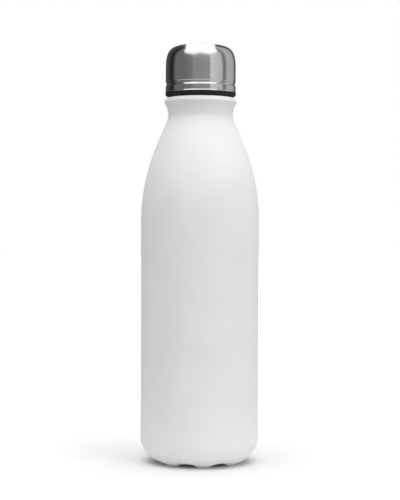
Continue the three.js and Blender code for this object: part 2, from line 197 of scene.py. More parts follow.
def beside(outline, distance):
    """An outline moved to its left by a distance, along the normal halfway between its neighbours.

    The last axis holds (radius, height), the one before it the places along the outline."""
    along = np.gradient(outline, axis=-2)
    along /= np.linalg.norm(along, axis=-1, keepdims=True)
    return outline + distance * np.stack([-along[..., 1], along[..., 0]], -1)


def smooth(share):
    """The smooth step 3s^2 - 2s^3, with s held between 0 and 1."""
    share = np.clip(share, 0, 1)
    return share * share * (3 - 2 * share)


# ---------- surfaces ----------

def surface(name, rings):
    """A closed mesh through one outline for each side round Z.

    rings[i, j] is the (radius, height) of outline point j at azimuth a = i turns / sides, and its vertex
    is (radius sin a, -radius cos a, height). Outlines that begin on the axis share their two end points
    there, and any other closes on itself."""
    sides, count = rings.shape[:2]
    azimuth = np.arange(sides) * 2 * np.pi / sides
    radius, height = rings[..., 0], rings[..., 1]
    place = np.stack([radius * np.sin(azimuth)[:, None], -radius * np.cos(azimuth)[:, None], height], -1)
    poles = radius[0, 0] < 1e-9 and radius[0, -1] < 1e-9
    grid = place[:, 1:-1] if poles else place
    rows = grid.shape[1]
    vertices = grid.reshape(-1, 3)
    side = np.arange(sides)[:, None]
    row = np.arange(rows - 1 if poles else rows)[None, :]
    beyond, above = (side + 1) % sides, (row + 1) % rows
    quads = np.stack([side * rows + row, beyond * rows + row, beyond * rows + above, side * rows + above], -1)
    faces = [quads.reshape(-1, 4)]
    if poles:
        first = len(vertices)
        vertices = np.concatenate([vertices, place[0, :1], place[0, -1:]])
        side, beyond = side[:, 0], beyond[:, 0]
        low, high = np.full(sides, first), np.full(sides, first + 1)
        faces.append(np.stack([low, beyond * rows, side * rows], 1))
        faces.append(np.stack([high, side * rows + rows - 1, beyond * rows + rows - 1], 1))
    return mesh_object(name, vertices, faces)


def mesh_object(name, vertices, faces):
    """A smooth-shaded object from an array of vertices and arrays of faces with equal corner counts."""
    mesh = bpy.data.meshes.new(name)
    corners = np.concatenate([group.ravel() for group in faces])
    sizes = np.concatenate([np.full(len(group), group.shape[1]) for group in faces])
    mesh.vertices.add(len(vertices))
    mesh.vertices.foreach_set("co", vertices.astype(np.float32).ravel())
    mesh.loops.add(len(corners))
    mesh.loops.foreach_set("vertex_index", corners.astype(np.int32))
    mesh.polygons.add(len(sizes))
    mesh.polygons.foreach_set("loop_start", (np.cumsum(sizes) - sizes).astype(np.int32))
    mesh.polygons.foreach_set("use_smooth", np.ones(len(sizes), bool))
    mesh.update(calc_edges=True)
    mesh.validate()
    thing = bpy.data.objects.new(name, mesh)
    bpy.context.scene.collection.objects.link(thing)
    return thing


def turned(name, outline, sides=SIDES):
    """A surface of revolution: the same outline at every azimuth."""
    outline = np.array(outline, float)
    return surface(name, np.broadcast_to(outline, (sides, *outline.shape)))


def thread_height(azimuth, height, bottom, turns):
    """How far a thread stands out at each azimuth and height, from 0 to 1.

    A ridge's middle climbs one lead a turn from the bottom. Its height falls off linearly with the
    distance from there, from the crest's width to the root's, is smoothed, and dies away at both ends."""
    result = np.zeros(np.broadcast(azimuth, height).shape)
    sweep = turns * 2 * np.pi
    for start in range(THREAD_STARTS):
        turned_by = (azimuth - start * 2 * np.pi / THREAD_STARTS) % (2 * np.pi)
        middle = bottom + THREAD_LEAD * turned_by / (2 * np.pi)
        slope = (THREAD_ROOT_WIDTH - THREAD_CREST_WIDTH) / 2
        flank = smooth((THREAD_ROOT_WIDTH / 2 - np.abs(height - middle)) / slope)
        ends = smooth(turned_by / THREAD_FADE) * smooth((sweep - turned_by) / THREAD_FADE)
        result = np.maximum(result, flank * ends)
    return result


def threaded(name, outline, radius, outward, thread, sides=SIDES):
    """A turned surface with a thread on the part of its outline that stands upright at a radius.

    There the radius changes by the thread's depth times its height, outward or inward."""
    outline = np.array(outline, float)
    rings = np.repeat(outline[None], sides, 0)
    azimuth = (np.arange(sides) * 2 * np.pi / sides)[:, None]
    relief = thread_height(azimuth, outline[None, :, 1], **thread)
    upright = np.abs(outline[:, 0] - radius) < 0.02 * MM
    rings[..., 0] += (1 if outward else -1) * THREAD_DEPTH * relief * upright
    return surface(name, rings)


# ---------- node tools ----------

def node(tree, kind, inputs=None, **settings):
    """A shader node with its settings made and each input linked, if given a socket, or set."""
    made = tree.nodes.new(kind)
    for name, value in settings.items():
        setattr(made, name, value)
    for name, value in (inputs or {}).items():
        if isinstance(value, bpy.types.NodeSocket):
            tree.links.new(value, made.inputs[name])
        else:
            made.inputs[name].default_value = value
    return made


def group(name, inputs, outputs):
    """An empty shader node group with float inputs and outputs, and its two end nodes."""
    tree = bpy.data.node_groups.new(name, "ShaderNodeTree")
    for label, value in inputs.items():
        socket = tree.interface.new_socket(label, in_out="INPUT", socket_type="NodeSocketFloat")
        socket.default_value = value
    for label in outputs:
        tree.interface.new_socket(label, in_out="OUTPUT", socket_type="NodeSocketFloat")
    return tree, node(tree, "NodeGroupInput"), node(tree, "NodeGroupOutput")


def math_node(tree, operation, first, second=0.0):
    """The output of a Math node."""
    made = node(tree, "ShaderNodeMath", {0: first, 1: second}, operation=operation)
    return made.outputs["Value"]


def grain_group():
    """Random grain of a set size on Object coordinates, fine and twelve times broader."""
    tree, ins, outs = group("grain", {"Size": 0.001}, ["Fine", "Broad"])
    place = node(tree, "ShaderNodeTexCoord").outputs["Object"]
    scale = math_node(tree, "DIVIDE", 1.0, ins.outputs["Size"])
    fine = node(tree, "ShaderNodeTexNoise", {"Vector": place, "Scale": scale, "Detail": 2.0})
    broad_scale = math_node(tree, "DIVIDE", scale, 12.0)
    broad = node(tree, "ShaderNodeTexNoise", {"Vector": place, "Scale": broad_scale, "Detail": 3.0})
    tree.links.new(fine.outputs["Fac"], outs.inputs["Fine"])
    tree.links.new(broad.outputs["Fac"], outs.inputs["Broad"])
    return tree


def turned_lines_group():
    """Lines that run round Z, as a lathe or a brush leaves them.

    The noise is read at (radius, height, a little of x and y), so that it is nearly the same all the
    way round at one radius and height. Lines are a spacing wide and Bands ten times that."""
    tree, ins, outs = group("turned_lines", {"Spacing": 0.0002}, ["Lines", "Bands"])
    place = node(tree, "ShaderNodeTexCoord").outputs["Object"]
    parts = node(tree, "ShaderNodeSeparateXYZ", {"Vector": place})
    x, y, z = (parts.outputs[axis] for axis in "XYZ")
    flat = node(tree, "ShaderNodeCombineXYZ", {"X": x, "Y": y, "Z": 0.0}).outputs["Vector"]
    radius = node(tree, "ShaderNodeVectorMath", {0: flat}, operation="LENGTH").outputs["Value"]
    drift = math_node(tree, "MULTIPLY", math_node(tree, "ADD", x, math_node(tree, "MULTIPLY", y, 0.7)), 0.012)
    section = node(tree, "ShaderNodeCombineXYZ", {"X": radius, "Y": z, "Z": drift}).outputs["Vector"]
    scale = math_node(tree, "DIVIDE", 1.0, ins.outputs["Spacing"])
    lines = node(tree, "ShaderNodeTexNoise", {"Vector": section, "Scale": scale, "Detail": 2.0})
    band_scale = math_node(tree, "DIVIDE", scale, 10.0)
    bands = node(tree, "ShaderNodeTexNoise", {"Vector": section, "Scale": band_scale, "Detail": 1.0})
    tree.links.new(lines.outputs["Fac"], outs.inputs["Lines"])
    tree.links.new(bands.outputs["Fac"], outs.inputs["Bands"])
    return tree


GRAIN = grain_group()
TURNED_LINES = turned_lines_group()


def placed(tree, shared, **inputs):
    """A shared node group placed in a material's tree with its own values."""
    made = node(tree, "ShaderNodeGroup", node_tree=shared)
    for name, value in inputs.items():
        made.inputs[name].default_value = value
    return made


def blank_material(name, **values):
    """A material with a Principled shader and its sockets' values."""
    material = bpy.data.materials.new(name)
    material.use_nodes = True
    shader = material.node_tree.nodes["Principled BSDF"]
    for label, value in values.items():
        shader.inputs[label.replace("_", " ")].default_value = value
    return material, material.node_tree, shader


def between(tree, share, low, high):
    """A number that goes from low to high as share goes from 0.3 to 0.7, where most noise lies."""
    made = node(tree, "ShaderNodeMapRange", {
        "Value": share, "From Min": 0.3, "From Max": 0.7, "To Min": low, "To Max": high})
    return made.outputs["Result"]


def tint(tree, share, dark, light):
    """A colour that goes from dark to light as share goes from 0.3 to 0.7."""
    mix = node(tree, "ShaderNodeMix", {"Factor": between(tree, share, 0.0, 1.0)}, data_type="RGBA")
    mix.inputs["A"].default_value = (*dark, 1)
    mix.inputs["B"].default_value = (*light, 1)
    return next(socket for socket in mix.outputs if socket.type == "RGBA")


def bump(tree, height, depth, below=None):
    """A Bump node's normal, for a height from 0 to 1 and a depth in metres, on top of another's."""
    inputs = {"Height": height, "Distance": depth, "Strength": 1.0}
    if below is not None:
        inputs["Normal"] = below
    return node(tree, "ShaderNodeBump", inputs).outputs["Normal"]


# ---------- materials ----------

def powder_coat():
    """Matt white polyester powder: a pebbled film with slow, faint changes of tone and sheen."""
    material, tree, shader = blank_material("powder_coat", IOR=1.45)
    pebble = placed(tree, GRAIN, Size=0.45 * MM)
    flow = placed(tree, GRAIN, Size=2.2 * MM)
    links = tree.links
    white = tint(tree, flow.outputs["Broad"], (0.80, 0.80, 0.805), (0.83, 0.83, 0.832))
    links.new(white, shader.inputs["Base Color"])
    links.new(between(tree, pebble.outputs["Broad"], 0.5, 0.6), shader.inputs["Roughness"])
    waves = bump(tree, flow.outputs["Fine"], 0.012 * MM)
    links.new(bump(tree, pebble.outputs["Fine"], 0.008 * MM, waves), shader.inputs["Normal"])
    return material


def brushed_steel():
    """Stainless steel turned against a belt: fine lines round the cap that stretch every highlight."""
    material, tree, shader = blank_material(
        "brushed_steel", Metallic=1.0, Anisotropic=0.75, Anisotropic_Rotation=0.25)
    lines = placed(tree, TURNED_LINES, Spacing=0.12 * MM)
    wear = placed(tree, GRAIN, Size=0.8 * MM)
    links = tree.links
    steel = tint(tree, lines.outputs["Bands"], (0.585, 0.585, 0.59), (0.615, 0.615, 0.62))
    links.new(steel, shader.inputs["Base Color"])
    brushed = between(tree, lines.outputs["Lines"], 0.14, 0.18)
    handled = between(tree, wear.outputs["Broad"], -0.02, 0.03)
    links.new(math_node(tree, "ADD", brushed, handled), shader.inputs["Roughness"])
    links.new(bump(tree, lines.outputs["Lines"], 0.0007 * MM), shader.inputs["Normal"])
    tangent = node(tree, "ShaderNodeTangent", direction_type="RADIAL", axis="Z")
    links.new(tangent.outputs["Tangent"], shader.inputs["Tangent"])
    return material


def drawn_steel():
    """The liner's steel: drawn, electropolished and a little cloudy, with faint lines round it."""
    material, tree, shader = blank_material(
        "drawn_steel", Metallic=1.0, Anisotropic=0.3, Anisotropic_Rotation=0.25)
    lines = placed(tree, TURNED_LINES, Spacing=0.3 * MM)
    cloud = placed(tree, GRAIN, Size=1.5 * MM)
    links = tree.links
    steel = tint(tree, cloud.outputs["Broad"], (0.52, 0.52, 0.525), (0.6, 0.6, 0.605))
    links.new(steel, shader.inputs["Base Color"])
    links.new(between(tree, cloud.outputs["Fine"], 0.26, 0.36), shader.inputs["Roughness"])
    links.new(bump(tree, lines.outputs["Lines"], 0.003 * MM), shader.inputs["Normal"])
    return material


def moulded(name, dark, light, roughness, size, depth, specular=0.5):
    """A moulded plastic or rubber: a spark-eroded skin whose tone and sheen change slowly."""
    material, tree, shader = blank_material(name, IOR=1.48, Specular_IOR_Level=specular)
    skin = placed(tree, GRAIN, Size=size)
    links = tree.links
    links.new(tint(tree, skin.outputs["Broad"], dark, light), shader.inputs["Base Color"])
    links.new(between(tree, skin.outputs["Broad"], *roughness), shader.inputs["Roughness"])
    links.new(bump(tree, skin.outputs["Fine"], depth), shader.inputs["Normal"])
    return material


def bead_foam():
    """Moulded bead foam: pale cells a few millimetres wide with a groove between them, and painted shade that
    darkens each cell towards its groove.
    """
    material, tree, shader = blank_material("bead_foam", Roughness=0.85)
    place = node(tree, "ShaderNodeTexCoord").outputs["Object"]
    cells = node(tree, "ShaderNodeTexVoronoi", {"Vector": place, "Scale": 1 / (2.6 * MM)})
    dent_and_groove_shade = math_node(tree, "SUBTRACT", 1.0, cells.outputs["Distance"])
    links = tree.links
    # painted shade: the colour darkens from each bead's middle towards the groove around it; the same value
    # also drives the groove's bump
    links.new(tint(tree, dent_and_groove_shade, (0.7, 0.69, 0.66), (0.88, 0.87, 0.84)), shader.inputs["Base Color"])
    links.new(bump(tree, dent_and_groove_shade, 0.3 * MM), shader.inputs["Normal"])
    return material


def crinkled_copper():
    """Copper foil: bright and creased where it was wrapped by hand."""
    material, tree, shader = blank_material("crinkled_copper", Metallic=1.0)
    place = node(tree, "ShaderNodeTexCoord").outputs["Object"]
    crease = node(
        tree, "ShaderNodeTexVoronoi", {"Vector": place, "Scale": 1 / (9 * MM)}, feature="DISTANCE_TO_EDGE")
    cloud = placed(tree, GRAIN, Size=1 * MM)
    links = tree.links
    copper = tint(tree, cloud.outputs["Broad"], (0.6, 0.3, 0.17), (0.78, 0.44, 0.28))
    links.new(copper, shader.inputs["Base Color"])
    links.new(between(tree, cloud.outputs["Fine"], 0.2, 0.34), shader.inputs["Roughness"])
    links.new(bump(tree, crease.outputs["Distance"], 0.4 * MM), shader.inputs["Normal"])
    return material


def sintered_metal():
    """The getter: pressed grey powder with a coarse, dull skin."""
    material, tree, shader = blank_material("sintered_metal", Metallic=0.6)
    powder = placed(tree, GRAIN, Size=0.25 * MM)
    links = tree.links
    grey = tint(tree, powder.outputs["Fine"], (0.05, 0.05, 0.052), (0.14, 0.14, 0.145))
    links.new(grey, shader.inputs["Base Color"])
    links.new(between(tree, powder.outputs["Fine"], 0.65, 0.9), shader.inputs["Roughness"])
    links.new(bump(tree, powder.outputs["Fine"], 0.05 * MM), shader.inputs["Normal"])
    return material


MATERIALS = {
    "powder_coat": powder_coat(),
    "brushed_steel": brushed_steel(),
    "drawn_steel": drawn_steel(),
    "black_plastic": moulded(
        "black_plastic", (0.01, 0.01, 0.011), (0.017, 0.017, 0.018), (0.42, 0.52), 0.3 * MM, 0.006 * MM, 0.2),
    "black_silicone": moulded(
        "black_silicone", (0.011, 0.011, 0.012), (0.018, 0.018, 0.019), (0.5, 0.62), 0.4 * MM, 0.004 * MM),
    "grey_plastic": moulded(
        "grey_plastic", (0.15, 0.15, 0.155), (0.19, 0.19, 0.195), (0.45, 0.55), 0.35 * MM, 0.01 * MM),
    "pale_rubber": moulded(
        "pale_rubber", (0.44, 0.44, 0.44), (0.52, 0.52, 0.52), (0.6, 0.75), 0.3 * MM, 0.02 * MM),
    "white_foam": bead_foam(),
    "copper_foil": crinkled_copper(),
    "getter_metal": sintered_metal(),
    "solder_glass": moulded(
        "solder_glass", (0.02, 0.032, 0.026), (0.035, 0.05, 0.042), (0.1, 0.16), 0.5 * MM, 0.004 * MM),
}


def finished(piece, body, slot, *replaced):
    """Gives a new piece its body, its finish and the nodes that it stands for."""
    piece.data.materials.append(MATERIALS[slot])
    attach(piece, body)
    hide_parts(*replaced)
    return piece


def finish_kept_nodes():
    """Gives each node that is still shown the material of its slot in the record."""
    for part in frame["record"]["subparts"]:
        thing = frame["nodes"][part["node"]]
        if thing.hide_render:
            continue
        thing.data.materials.clear()
        thing.data.materials.append(MATERIALS[part["material_slot"]])


# ---------- bottle ----------

def upper_outline():
    """The outside from the base's top up the wall, over the shoulder and the lip, to the mouth."""
    wall_top = (BODY_RADIUS, MOUTH - SHOULDER_DROP)
    waist = (WAIST_RADIUS, MOUTH - WAIST_DROP)
    edge = (LIP_RADIUS, MOUTH - LIP_DROP - LIP_EDGE)
    rise = edge[1] - waist[1]
    shoulder = bezier(
        wall_top, (BODY_RADIUS, wall_top[1] + SHOULDER_FULLNESS),
        (WAIST_RADIUS, waist[1] - WAIST_HOLD), waist, 48)
    flare = bezier(
        waist, (WAIST_RADIUS, waist[1] + rise * 0.5),
        (LIP_RADIUS - 0.9 * MM, edge[1] - rise * 0.16), edge, 16)
    lip = bezier(
        (LIP_RADIUS, edge[1] + LIP_EDGE), (LIP_RADIUS - 0.1 * MM, MOUTH - 1.1 * MM),
        (MOUTH_FLAT_RADIUS + 1.5 * MM, MOUTH), (MOUTH_FLAT_RADIUS, MOUTH), 14)
    wall = spaced(np.array([(BODY_RADIUS, base_top.z), wall_top]), 8 * MM)
    return joined(wall, shoulder, flare, lip, (MOUTH_EDGE_RADIUS, MOUTH))


def base_outline(lift, rim_height, rise, hold):
    """The underside at one azimuth: hole, dimple, recess, foot or scallop, rim and outer corner.

    lift is the height of the foot's flat or of the scallop's roof. rise is the direction in which the
    corner leaves the rim, and hold how many times its length the corner keeps it."""
    dimple = RECESS_HEIGHT + DIMPLE_RISE
    centre = rounded([
        (EVACUATION_HOLE_RADIUS, dimple), (DIMPLE_RADIUS - DIMPLE_RISE, dimple),
        (DIMPLE_RADIUS, RECESS_HEIGHT), (RECESS_RADIUS - 0.5 * MM, RECESS_HEIGHT)], 1 * MM)
    inner = BODY_RADIUS - FOOT_INNER_INSET
    outer = BODY_RADIUS - FOOT_OUTER_INSET
    rim = np.array([BODY_RADIUS - RIM_INSET, rim_height])
    slope = bezier(
        (RECESS_RADIUS, RECESS_HEIGHT), (RECESS_RADIUS + 3 * MM, RECESS_HEIGHT), (inner - 4 * MM, lift),
        (inner, lift), 14)
    half_step = lift + (rim_height - lift) * 0.4
    edge = bezier(
        (outer - FOOT_EDGE, lift), (outer - FOOT_EDGE / 3, lift), (outer, lift + (half_step - lift) / 3),
        (outer, half_step), 4)
    under = bezier(
        (outer, half_step), (outer, (half_step + rim_height) / 2), (outer + 0.4 * MM, rim_height),
        (outer + 1 * MM, rim_height), 4)[1:]
    turn = bezier(rim - (0.5 * MM, 0), rim, rim, rim + rise, 5)
    corner = bezier(
        turn[-1], turn[-1] + hold * np.array(rise), (BODY_RADIUS, BASE_TURN_HOLD),
        (BODY_RADIUS, BASE_TURN_HEIGHT), 18)[1:]
    return np.concatenate([centre, slope, edge, under, turn, corner])


def bottle_rings():
    """The outside at every azimuth: a foot's underside blended with a scallop's by a smooth step.

    The step goes by the azimuth's distance from the nearest foot's middle, from the edge of the foot's
    flat to the edge of the scallop's."""
    foot = base_outline(0.0, FOOT_RIM_HEIGHT, (0.3 * MM, 0.4 * MM), 1.0)
    scallop = base_outline(SCALLOP_HEIGHT, SCALLOP_RIM_HEIGHT, (0.45 * MM, 0.25 * MM), 3.5)
    azimuth = np.arange(SIDES) * 2 * np.pi / SIDES - FOOT_AZIMUTH
    half = np.pi / FOOT_COUNT
    from_foot = np.abs((azimuth + half) % (2 * half) - half)
    share = smooth((from_foot - FOOT_FLAT_ANGLE) / (half - FOOT_FLAT_ANGLE - SCALLOP_FLAT_ANGLE))
    base = foot + (scallop - foot) * share[:, None, None]
    upper = upper_outline()
    return np.concatenate([base, np.repeat(upper[None], SIDES, 0)], 1)


def bottle_skin():
    """The coated shell and base as one closed wall: its outside, and the same moved in by the wall.

    At the sharp step between a foot and its rim the wall is moved in along one slanting direction."""
    outside = bottle_rings()
    inside = beside(outside, SHELL_WALL)
    radius, height = outside[0, :, 0], outside[0, :, 1]
    step = radius > BODY_RADIUS - FOOT_OUTER_INSET - FOOT_EDGE * 1.1
    step &= radius < BODY_RADIUS - RIM_INSET - 0.3 * MM
    step &= height < BASE_TURN_HEIGHT
    inside[:, step] = outside[:, step] + np.array([-0.5, 0.9]) * SHELL_WALL
    inside[:, -1] = outside[:, -1] - (0, SHELL_WALL)
    inside[:, 0] = outside[:, 0] + (0, SHELL_WALL)
    return surface("bottle_skin", np.concatenate([outside, inside[:, ::-1]], 1))


def base_pad():
    """The soft disc in the recess, with a rounded rim."""
    low, high, radius = pad_low.z, pad_high.z, pad_high.x
    edge = rounded([(0.1 * MM, low), (radius, low), (radius, high), (0.1 * MM, high)], 0.25 * MM)
    return turned("base_pad", joined((0, low), edge, (0, high)))


def liner_wall():
    """The liner: a wall beside the shell's outline and a straight neck with the rolled thread."""
    seam = liner_floor_high.z + 0.3 * MM
    outside = upper_outline()
    below = beside(outside[outside[:, 1] > seam + VACUUM_GAP], SHELL_WALL + VACUUM_GAP)
    below = below[(below[:, 0] > BORE_RADIUS + 1.2 * MM) & (below[:, 1] < MOUTH - WAIST_DROP)]
    neck_foot = (BORE_RADIUS + LINER_WALL, below[-1, 1] + 3.2 * MM)
    rim = (BORE_RADIUS + LINER_WALL, MOUTH)
    start = (below[0, 0], seam)
    outer = joined(start, below, rounded([below[-1], neck_foot, rim], 2.5 * MM)[1:])
    outer = spaced(outer, 2.5 * MM)
    inner = beside(outer, LINER_WALL)[::-1]
    inner[0] = (BORE_RADIUS + 0.05 * MM, MOUTH)
    upright = np.abs(inner[:, 0] - BORE_RADIUS) < 0.03 * MM
    inner[upright, 0] = BORE_RADIUS
    fine = spaced(inner, FINE)
    fine = fine[fine[:, 1] > MOUTH - NECK_DEPTH]
    inner = joined(inner[:1], fine, inner[inner[:, 1] <= MOUTH - NECK_DEPTH])
    return threaded("liner_wall", joined(outer, inner), BORE_RADIUS, False, NECK_THREAD)


def liner_floor():
    """The liner's bottom cup: a crowned floor with a wide corner."""
    radius, low, high = liner_floor_high.x, liner_floor_low.z, liner_floor_high.z
    flat = radius - LINER_CORNER
    floor_line = bezier(
        (0, low + LINER_CROWN), (8 * MM, low + LINER_CROWN), (flat - 8 * MM, low), (flat, low), 12)
    corner = arc((flat, low + LINER_CORNER), LINER_CORNER, -90, 0, 14)
    outer = joined(floor_line, corner, (radius, high))
    inner = beside(outer, LINER_WALL)[::-1]
    inner[-1, 0] = 0
    return turned("liner_floor", joined(outer, inner))


# ---------- cap ----------

def steel_cap():
    """The cap's drawn shell: hemmed foot, round groove, upright wall, full corner and faint crown.

    The groove is a circle's arc with the groove's width as its chord and its depth as its height."""
    foot, top = cap_low.z + 0.25 * MM, cap_high.z
    hem = cap_high.x - 0.1 * MM
    middle = cap_low.z + GROOVE_RISE
    half = GROOVE_WIDTH / 2
    round_radius = (half ** 2 + GROOVE_DEPTH ** 2) / (2 * GROOVE_DEPTH)
    reach = math.degrees(math.asin(half / round_radius))
    centre = (CAP_RADIUS - GROOVE_DEPTH + round_radius, middle)
    groove = arc(centre, round_radius, 180 + reach, 180 - reach, 22)
    skirt = rounded([
        (hem - 0.25 * MM, foot), (hem, foot + 0.25 * MM), (hem, foot + 0.4 * MM),
        (CAP_RADIUS, foot + 0.8 * MM), (CAP_RADIUS, middle - half)], 0.2 * MM)
    edge = top - CAP_CROWN
    corner = bezier(
        (CAP_RADIUS, top - CAP_CORNER), (CAP_RADIUS, top - 4.2 * MM), (19.6 * MM, edge),
        (CAP_CROWN_RADIUS, edge), 44)
    crown = bezier(corner[-1], (CAP_CROWN_RADIUS - 3 * MM, edge), (3 * MM, top), (0.0, top), 8)[1:]
    outer = joined(skirt[:-1], groove, corner, crown)
    inner = beside(outer, CAP_WALL)[::-1]
    inner[0, 0] = 0
    inner[-1] = (hem - CAP_WALL, foot)
    return turned("steel_cap", joined(inner, spaced(outer, 0.3 * MM)), CAP_SIDES)


def cap_plug():
    """The moulded core: a hollow threaded plug, gasket seat, chamfered flange and web, open at the top."""
    bottom, web = core_low.z, core_high.z
    flange = core_high.x
    flange_bottom, flange_top = MOUTH + 0.6 * MM, cap_low.z - 0.3 * MM
    seat = gasket_high.x + 0.3 * MM
    ceiling = gasket_high.z + 0.3 * MM
    dome = dome_high.x
    hollow = PLUG_RADIUS - PLUG_WALL
    nose = rounded([(0.2 * MM, bottom), (PLUG_RADIUS, bottom), (PLUG_RADIUS, bottom + 2.5 * MM)], 1.4 * MM)
    side = spaced(np.array([nose[-1], (PLUG_RADIUS, ceiling)]), FINE)
    rest = rounded([
        (PLUG_RADIUS, ceiling - 0.3 * MM), (PLUG_RADIUS, ceiling), (seat, ceiling), (seat, flange_bottom),
        (flange - FLANGE_CHAMFER, flange_bottom), (flange, flange_bottom + FLANGE_CHAMFER * 0.9),
        (flange, flange_top), (dome, flange_top), (dome, web), (hollow, web), (hollow, bottom + PLUG_WALL),
        (0.2 * MM, bottom + PLUG_WALL)], 0.2 * MM)
    outline = joined((0, bottom), nose, side[:-3], rest, (0, bottom + PLUG_WALL))
    return threaded("cap_plug", outline, PLUG_RADIUS, True, PLUG_THREAD)


def seal_ring():
    """The gasket: a flat ring with rounded edges and two low sealing beads on its lower face."""
    inner, outer = PLUG_RADIUS + 0.3 * MM, gasket_high.x
    low, high = gasket_low.z, gasket_high.z
    bead = np.linspace(0, 1, 41)
    radius = inner + 0.5 * MM + bead * (outer - inner - 1 * MM)
    face = np.stack([radius, low + 0.12 * MM * (0.5 + 0.5 * np.cos(4 * np.pi * bead))], 1)
    edge = rounded([
        face[-1], (outer, low + 0.1 * MM), (outer, high), (inner, high), (inner, low + 0.1 * MM), face[0]],
        0.35 * MM)
    return turned("seal_ring", joined(face, edge[1:-1]))


# ---------- studio ----------

CAMERA_DISTANCE = 0.833
CAMERA_HEIGHT = 0.145
CAMERA_LENS = 96.7  # mm, on a 36 mm sensor
CAMERA_PITCH = -0.963  # degrees
CAMERA_ROLL = -0.27


# Light levels, where 1 is white
AMBIENT = 0.5
OVERHEAD = 3.12
RIGHT = 2.0
LEFT = 0.8
FLOOR_TONE = 0.78
FLOOR_BOUNCE = (0.82, 0.5)  # beside the bottle and far from it
FLOOR_MIRRORED = 0.4  # what the floor's own light adds in metal, up to white
CARDS = [  # (degrees from the front, brightness)
    (-180, 0.09), (-130, 0.09), (-121, 0.035), (-110, 0.025), (-101, 0.05), (-90, 0.22), (-60, 0.2),
    (-30, 0.25), (-23, 0.36), (30, 0.38), (33, 0.9), (44, 0.82), (73, 0.7), (79, 0.26), (89, 0.26),
    (95, 0.64), (130, 0.58), (140, 0.36), (148, 0.12), (180, 0.09)]
OVERHEAD_CARD = 1.65
OVERHEAD_CARD_HEIGHT = 1.0
TENT_RADIUS = 1.7
TENT_HEIGHT = 1.9
TENT_FLOOR_RADIUS = 0.3  # the tent's own floor begins here
FLOOR_BOUNCE_REACH = (0.045, 0.12)
FLOOR_FADE = (0.06, 0.6)  # distances between which the floor runs into white
FLOOR_SIZE = 6.0


def camera():
    """A long lens a little below the bottle's middle, looking along +Y and slightly down."""
    data = bpy.data.cameras.new("camera")
    data.lens = CAMERA_LENS
    data.sensor_width = 36
    data.clip_end = 50
    thing = bpy.data.objects.new("camera", data)
    thing.location = (0, -CAMERA_DISTANCE, CAMERA_HEIGHT)
    thing.rotation_euler = (math.radians(90 + CAMERA_PITCH), math.radians(CAMERA_ROLL), 0)
    bpy.context.scene.collection.objects.link(thing)
    bpy.context.scene.camera = thing


def background_rays(tree, mirrored=1.0):
    """1 for rays that see the background directly, and mirrored for reflected or refracted ones."""
    path = node(tree, "ShaderNodeLightPath").outputs
    shiny = math_node(tree, "MAXIMUM", path["Is Glossy Ray"], path["Is Transmission Ray"])
    dimmed = math_node(tree, "MULTIPLY", shiny, mirrored)
    return math_node(tree, "MAXIMUM", path["Is Camera Ray"], dimmed)


def world():
    """White where it is seen, and a softer level where it lights the bottle."""
    made = bpy.data.worlds.new("studio")
    made.use_nodes = True
    bpy.context.scene.world = made
    tree = made.node_tree
    tree.nodes.clear()
    light = node(tree, "ShaderNodeBackground", {"Color": (1, 1, 1, 1), "Strength": AMBIENT})
    seen = node(tree, "ShaderNodeBackground", {"Color": (1, 1, 1, 1), "Strength": 1.0})
    mix = node(tree, "ShaderNodeMixShader", {
        0: background_rays(tree), 1: light.outputs[0], 2: seen.outputs[0]})
    out = node(tree, "ShaderNodeOutputWorld")
    tree.links.new(mix.outputs[0], out.inputs["Surface"])


def distance_share(tree, near, far):
    """A smooth step of the distance from Z, from 0 at near to 1 at far."""
    place = node(tree, "ShaderNodeTexCoord").outputs["Object"]
    distance = node(tree, "ShaderNodeVectorMath", {0: place}, operation="LENGTH").outputs["Value"]
    made = node(tree, "ShaderNodeMapRange", {
        "Value": distance, "From Min": near, "From Max": far, "To Min": 0.0, "To Max": 1.0},
        interpolation_type="SMOOTHSTEP")
    return made.outputs["Result"]


def floor():
    """A white sheet that keeps the bottle's shadow and runs into the background further off.

    What it throws back on the bottle is set apart from its tone, and is stronger close by."""
    corners = np.array([(-1, -1, 0), (1, -1, 0), (1, 1, 0), (-1, 1, 0)]) * FLOOR_SIZE
    sheet = mesh_object("floor", corners, [np.array([[0, 1, 2, 3]])])
    material = bpy.data.materials.new("floor")
    material.use_nodes = True
    tree = material.node_tree
    tree.nodes.clear()
    camera_ray = node(tree, "ShaderNodeLightPath").outputs["Is Camera Ray"]
    seen = background_rays(tree, FLOOR_MIRRORED)
    bounced = node(tree, "ShaderNodeMapRange", {
        "Value": distance_share(tree, *FLOOR_BOUNCE_REACH),
        "To Min": FLOOR_BOUNCE[0], "To Max": FLOOR_BOUNCE[1]})
    tone = node(tree, "ShaderNodeMix", {0: camera_ray, 2: bounced.outputs["Result"], 3: FLOOR_TONE})
    paper = node(tree, "ShaderNodeBsdfDiffuse", {"Color": tone.outputs[0]})
    glowing = math_node(tree, "MULTIPLY", seen, distance_share(tree, *FLOOR_FADE))
    glow = node(tree, "ShaderNodeEmission", {"Color": (1, 1, 1, 1), "Strength": glowing})
    both = node(tree, "ShaderNodeAddShader", {0: paper.outputs[0], 1: glow.outputs[0]})
    out = node(tree, "ShaderNodeOutputMaterial")
    tree.links.new(both.outputs[0], out.inputs["Surface"])
    sheet.data.materials.append(material)


def reflected_only(thing):
    """Lets a card or wall of the studio show in reflections and nowhere else."""
    thing.visible_camera = thing.visible_diffuse = thing.visible_shadow = False
    thing.visible_transmission = thing.visible_volume_scatter = False


